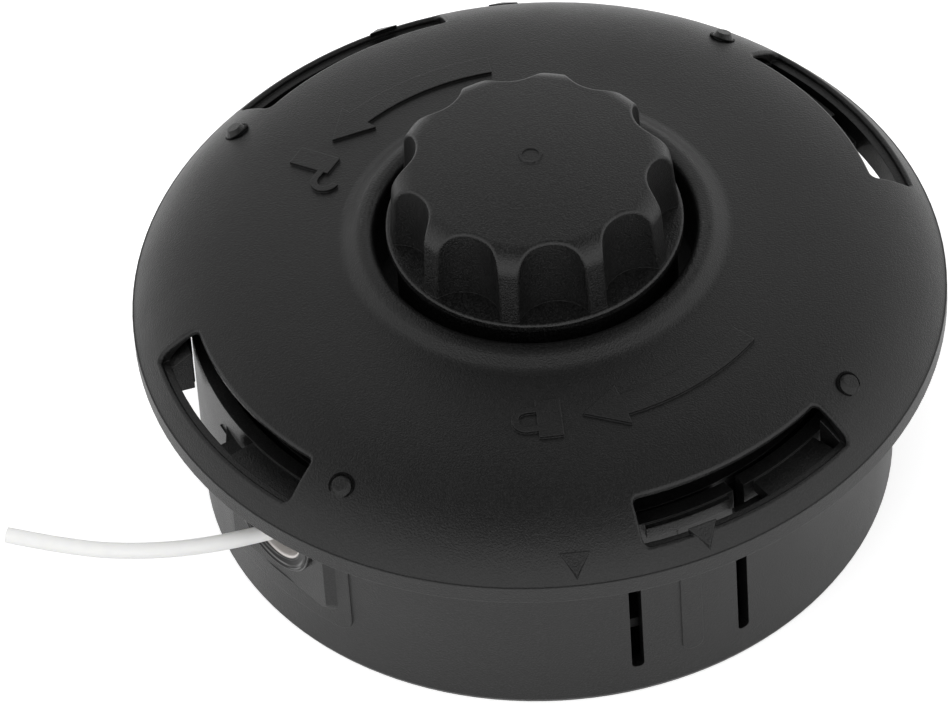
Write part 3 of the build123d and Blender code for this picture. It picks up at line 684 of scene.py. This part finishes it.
# Floor: a plain white sheet that the head lies on. It is lifted to white for the camera and in reflections,
# and keeps a soft contact shadow.
half = 4.0
mesh = bpy.data.meshes.new("floor")
corners = [(-half, -half, 0), (half, -half, 0), (half, half, 0), (-half, half, 0)]
mesh.from_pydata(corners, [], [(0, 1, 2, 3)])
floor = bpy.data.objects.new("floor", mesh)
scene.collection.objects.link(floor)
material, add, join, shader = new_finish("floor_white")
shader.inputs["Base Color"].default_value = (0.85, 0.85, 0.85, 1)
shader.inputs["Roughness"].default_value = 0.9
shader.inputs["Specular IOR Level"].default_value = 0.0
glow = add("ShaderNodeEmission")
path = add("ShaderNodeLightPath")
lift = None
for label, strength in (("Is Camera Ray", 0.62), ("Is Glossy Ray", 0.30), ("Is Transmission Ray", 0.30)):
    share = add("ShaderNodeMath")
    share.operation = "MULTIPLY_ADD"
    share.inputs[1].default_value = strength
    share.inputs[2].default_value = 0.0
    join(path.outputs[label], share.inputs[0])
    if lift is not None:
        join(lift, share.inputs[2])
    lift = share.outputs[0]
join(lift, glow.inputs["Strength"])
both = add("ShaderNodeAddShader")
join(shader.outputs[0], both.inputs[0])
join(glow.outputs[0], both.inputs[1])
join(both.outputs[0], material.node_tree.nodes["Material Output"].inputs["Surface"])
mesh.materials.append(material)

# Studio: white walls all round that are a little brighter in front, a dim ceiling, and one broad soft
# lamp overhead that shows in no reflection.
world = bpy.data.worlds.new("studio")
scene.world = world
world.use_nodes = True
tree = world.node_tree
add, join = tree.nodes.new, tree.links.new
sky = tree.nodes["Background"]
coords = add("ShaderNodeTexCoord").outputs["Generated"]
split = add("ShaderNodeSeparateXYZ")
ramp = add("ShaderNodeValToRGB")
join(coords, split.inputs[0])
join(split.outputs["Z"], ramp.inputs[0])
for height, level in ((0.0, 1.0), (0.45, 1.0), (0.6, 0.95), (0.8, 0.55), (0.92, 0.22), (1.0, 0.12)):
    stop = ramp.color_ramp.elements[-1] if height == 1.0 else ramp.color_ramp.elements[0]
    if 0.0 < height < 1.0:
        stop = ramp.color_ramp.elements.new(height)
    stop.color = (level, level, level, 1)
join(ramp.outputs[0], sky.inputs["Color"])
lean = add("ShaderNodeVectorMath")
lean.operation = "DOT_PRODUCT"
lean.inputs[1].default_value = (0.06, -0.24, 0)
join(coords, lean.inputs[0])
brightness = add("ShaderNodeMath")
brightness.inputs[1].default_value = 1.0
join(lean.outputs["Value"], brightness.inputs[0])
join(brightness.outputs[0], sky.inputs["Strength"])
lamp_data = bpy.data.lights.new("overhead", "AREA")
lamp_data.shape = "DISK"
lamp_data.size = 1.2
lamp_data.energy = 6.0
lamp = bpy.data.objects.new("overhead", lamp_data)
lamp.location = (-0.25, -0.2, 1.3)
lamp.rotation_euler = (-lamp.location).to_track_quat("-Z", "Y").to_euler()
lamp.visible_glossy = False
scene.collection.objects.link(lamp)

# Camera: a long lens at the photograph's view, 46 degrees above the floor and slightly rolled. The sizes
# were fitted to the rim, collar and drum.
elevation = 0.8028
roll = -0.0724
distance = 1.189287
offset = (0.0111114, -0.0140145)
back = Vector((0, -math.cos(elevation), math.sin(elevation)))
level_up = Vector((0, math.sin(elevation), math.cos(elevation)))
right = math.cos(roll) * Vector((1, 0, 0)) + math.sin(roll) * level_up
up = back.cross(right)
camera_data = bpy.data.cameras.new("camera")
camera_data.lens = 299.92
camera_data.sensor_width = 36
camera_data.clip_end = 20
camera = bpy.data.objects.new("camera", camera_data)
spot = distance * back - offset[0] * right - offset[1] * up
camera.matrix_world = Matrix.Translation(spot) @ Matrix((right, up, back)).transposed().to_4x4()
scene.collection.objects.link(camera)
scene.camera = camera

scene.view_settings.view_transform = "Standard"
